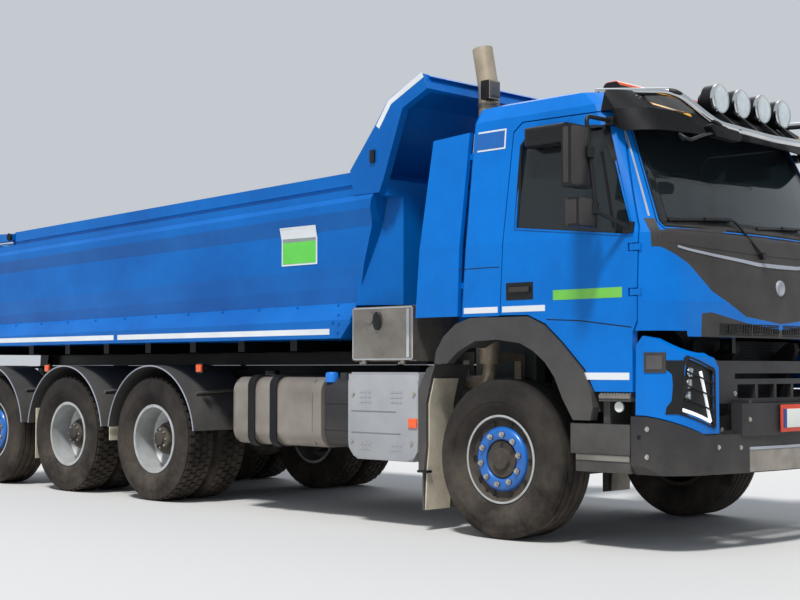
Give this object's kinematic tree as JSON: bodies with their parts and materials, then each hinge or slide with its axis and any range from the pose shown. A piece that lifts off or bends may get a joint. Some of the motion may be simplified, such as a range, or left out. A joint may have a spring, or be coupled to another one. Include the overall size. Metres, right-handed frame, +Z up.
{
  "type": "dump truck",
  "caption": "Four-axle tipper truck with a steel dump bed, canopy and top-hung tailgate, tilting cab, opening doors and steered first and last axles.",
  "frame": {"origin": "on the ground, at the middle of the truck's length and width", "axes": "+X towards the cab, +Y to the truck's left, +Z up"},
  "size_m": [8.9748, 3.18, 3.5041],
  "materials": {
    "cab_blue": "gloss bright blue",
    "bed_blue": "semi-gloss dark blue",
    "dark_panel": "dark grey moulded",
    "grey_bumper": "matt dark grey",
    "chassis_black": "matt near-black",
    "axle_iron": "dark painted casting",
    "tyre_rubber": "worn black",
    "rim_silver": "silver with a dark hub",
    "tank_grey": "satin grey",
    "tank_black": "dark ribbed",
    "box_steel": "brushed",
    "stack_steel": "heat-stained",
    "guard_black": "dark with light edging",
    "lamp_chrome": "polished",
    "lamp_unit": "clear-fronted reflector",
    "window_glass": "tinted",
    "cabin_trim": "dark seats and dash",
    "engine_grey": "painted casting",
    "hoist_blue": "dark cover tube",
    "hoist_chrome": "ground stages"
  },
  "bodies": {
    "chassis": {"frame_rails": "chassis_black", "subframe": "chassis_black", "front_axle": "axle_iron", "rear_axles": "axle_iron", "engine": "engine_grey", "fuel_tank": "tank_grey", "urea_tank": "tank_black", "silencer_box": "tank_grey", "exhaust_stack": "stack_steel", "toolbox": "box_steel", "left_boxes": "tank_black", "bumper": "grey_bumper", "headlamp_panels": "cab_blue", "headlamps": "lamp_unit", "steps": "dark_panel", "mudguards": "guard_black", "rear_bar": "chassis_black"},
    "cab": {"cab_shell": "cab_blue", "front_panel": "dark_panel", "windscreen": "window_glass", "sun_visor": "dark_panel", "roof_lights": "lamp_chrome", "side_deflectors": "cab_blue", "wheel_arches": "dark_panel", "cab_interior": "cabin_trim"},
    "door_right": {"door_right": "cab_blue", "door_glass_right": "window_glass", "mirrors_right": "dark_panel"},
    "door_left": {"door_left": "cab_blue", "door_glass_left": "window_glass", "mirrors_left": "dark_panel"},
    "toolbox_door": {"toolbox_door": "box_steel"},
    "bed": {"bed": "bed_blue"},
    "tailgate": {"tailgate": "bed_blue"},
    "hoist_cover": {"hoist_cover": "hoist_blue"},
    "hoist_stage_1": {"hoist_stage_1": "hoist_chrome"},
    "hoist_stage_2": {"hoist_stage_2": "hoist_chrome"},
    "hoist_stage_3": {"hoist_stage_3": "hoist_chrome"},
    "hoist_stage_4": {"hoist_stage_4": "hoist_chrome"},
    "knuckle_front_right": {"knuckle_front_right": "axle_iron"},
    "wheel_front_right": {"tyre_front_right": "tyre_rubber", "rim_front_right": "rim_silver"},
    "knuckle_front_left": {"knuckle_front_left": "axle_iron"},
    "wheel_front_left": {"tyre_front_left": "tyre_rubber", "rim_front_left": "rim_silver"},
    "knuckle_tag_right": {"knuckle_tag_right": "axle_iron"},
    "wheel_tag_right": {"tyre_tag_right": "tyre_rubber", "rim_tag_right": "rim_silver"},
    "knuckle_tag_left": {"knuckle_tag_left": "axle_iron"},
    "wheel_tag_left": {"tyre_tag_left": "tyre_rubber", "rim_tag_left": "rim_silver"},
    "wheels_drive1_right": {"tyres_drive1_right": "tyre_rubber", "rims_drive1_right": "rim_silver"},
    "wheels_drive1_left": {"tyres_drive1_left": "tyre_rubber", "rims_drive1_left": "rim_silver"},
    "wheels_drive2_right": {"tyres_drive2_right": "tyre_rubber", "rims_drive2_right": "rim_silver"},
    "wheels_drive2_left": {"tyres_drive2_left": "tyre_rubber", "rims_drive2_left": "rim_silver"}
  },
  "joints": [
    {"name": "cab_tilt", "type": "hinge", "parent": "chassis", "child": "cab", "pos_m": [4.1975, 0, 1.29], "axis": [0, 1, 0], "range_deg": [0, 60]},
    {"name": "door_right_hinge", "type": "hinge", "parent": "cab", "child": "door_right", "pos_m": [4.0075, -1.235, 1.5], "axis": [0, 0, 1], "range_deg": [0, 75]},
    {"name": "door_left_hinge", "type": "hinge", "parent": "cab", "child": "door_left", "pos_m": [4.0075, 1.235, 1.5], "axis": [0, 0, -1], "range_deg": [0, 75]},
    {"name": "toolbox_lid", "type": "hinge", "parent": "chassis", "child": "toolbox_door", "pos_m": [1.8075, -1.235, 1.188], "axis": [1, 0, 0], "range_deg": [0, 100]},
    {"name": "bed_tip", "type": "hinge", "parent": "chassis", "child": "bed", "pos_m": [-4.0325, 0, 1.12], "axis": [0, -1, 0], "range_deg": [0, 48]},
    {"name": "tailgate_swing", "type": "hinge", "parent": "bed", "child": "tailgate", "pos_m": [-3.4525, 0, 2.452], "axis": [0, 1, 0], "range_deg": [0, 60]},
    {"name": "hoist_swing", "type": "hinge", "parent": "chassis", "child": "hoist_cover", "pos_m": [2.2175, 0, 1.16], "axis": [0, -1, 0], "range_deg": [0, 24.5]},
    {"name": "hoist_extend_1", "type": "slide", "parent": "hoist_cover", "child": "hoist_stage_1", "axis": [-0.1295, 0, 0.9916], "range_m": [0, 1.2301]},
    {"name": "hoist_extend_2", "type": "slide", "parent": "hoist_stage_1", "child": "hoist_stage_2", "axis": [-0.1295, 0, 0.9916], "range_m": [0, 1.2301]},
    {"name": "hoist_extend_3", "type": "slide", "parent": "hoist_stage_2", "child": "hoist_stage_3", "axis": [-0.1295, 0, 0.9916], "range_m": [0, 1.2301]},
    {"name": "hoist_extend_4", "type": "slide", "parent": "hoist_stage_3", "child": "hoist_stage_4", "axis": [-0.1295, 0, 0.9916], "range_m": [0, 1.2301]},
    {"name": "steer_front_right", "type": "hinge", "parent": "chassis", "child": "knuckle_front_right", "pos_m": [2.9075, -0.9, 0.536], "axis": [0, 0, 1], "range_deg": [-38, 38]},
    {"name": "spin_front_right", "type": "hinge", "parent": "knuckle_front_right", "child": "wheel_front_right", "pos_m": [2.9075, -1.063, 0.536], "axis": [0, 1, 0], "continuous": true},
    {"name": "steer_front_left", "type": "hinge", "parent": "chassis", "child": "knuckle_front_left", "pos_m": [2.9075, 0.9, 0.536], "axis": [0, 0, 1], "range_deg": [-38, 38]},
    {"name": "spin_front_left", "type": "hinge", "parent": "knuckle_front_left", "child": "wheel_front_left", "pos_m": [2.9075, 1.063, 0.536], "axis": [0, 1, 0], "continuous": true},
    {"name": "steer_tag_right", "type": "hinge", "parent": "chassis", "child": "knuckle_tag_right", "pos_m": [-3.7975, -0.9, 0.536], "axis": [0, 0, 1], "range_deg": [-16, 16]},
    {"name": "spin_tag_right", "type": "hinge", "parent": "knuckle_tag_right", "child": "wheel_tag_right", "pos_m": [-3.7975, -1.063, 0.536], "axis": [0, 1, 0], "continuous": true},
    {"name": "steer_tag_left", "type": "hinge", "parent": "chassis", "child": "knuckle_tag_left", "pos_m": [-3.7975, 0.9, 0.536], "axis": [0, 0, 1], "range_deg": [-16, 16]},
    {"name": "spin_tag_left", "type": "hinge", "parent": "knuckle_tag_left", "child": "wheel_tag_left", "pos_m": [-3.7975, 1.063, 0.536], "axis": [0, 1, 0], "continuous": true},
    {"name": "spin_drive1_right", "type": "hinge", "parent": "chassis", "child": "wheels_drive1_right", "pos_m": [-1.0475, -0.9265, 0.536], "axis": [0, 1, 0], "continuous": true},
    {"name": "spin_drive1_left", "type": "hinge", "parent": "chassis", "child": "wheels_drive1_left", "pos_m": [-1.0475, 0.9265, 0.536], "axis": [0, 1, 0], "continuous": true},
    {"name": "spin_drive2_right", "type": "hinge", "parent": "chassis", "child": "wheels_drive2_right", "pos_m": [-2.4175, -0.9265, 0.536], "axis": [0, 1, 0], "continuous": true},
    {"name": "spin_drive2_left", "type": "hinge", "parent": "chassis", "child": "wheels_drive2_left", "pos_m": [-2.4175, 0.9265, 0.536], "axis": [0, 1, 0], "continuous": true}
  ],
  "couplings": [
    {"joint": "hoist_swing", "follows": "bed_tip", "ratio": 0.5},
    {"joint": "hoist_extend_1", "follows": "bed_tip", "m_per_rad": 1.466},
    {"joint": "hoist_extend_2", "follows": "bed_tip", "m_per_rad": 1.466},
    {"joint": "hoist_extend_3", "follows": "bed_tip", "m_per_rad": 1.466},
    {"joint": "hoist_extend_4", "follows": "bed_tip", "m_per_rad": 1.466},
    {"joint": "steer_front_left", "follows": "steer_front_right", "ratio": 1},
    {"joint": "steer_tag_right", "follows": "steer_front_right", "ratio": -0.4},
    {"joint": "steer_tag_left", "follows": "steer_front_right", "ratio": -0.4}
  ]
}
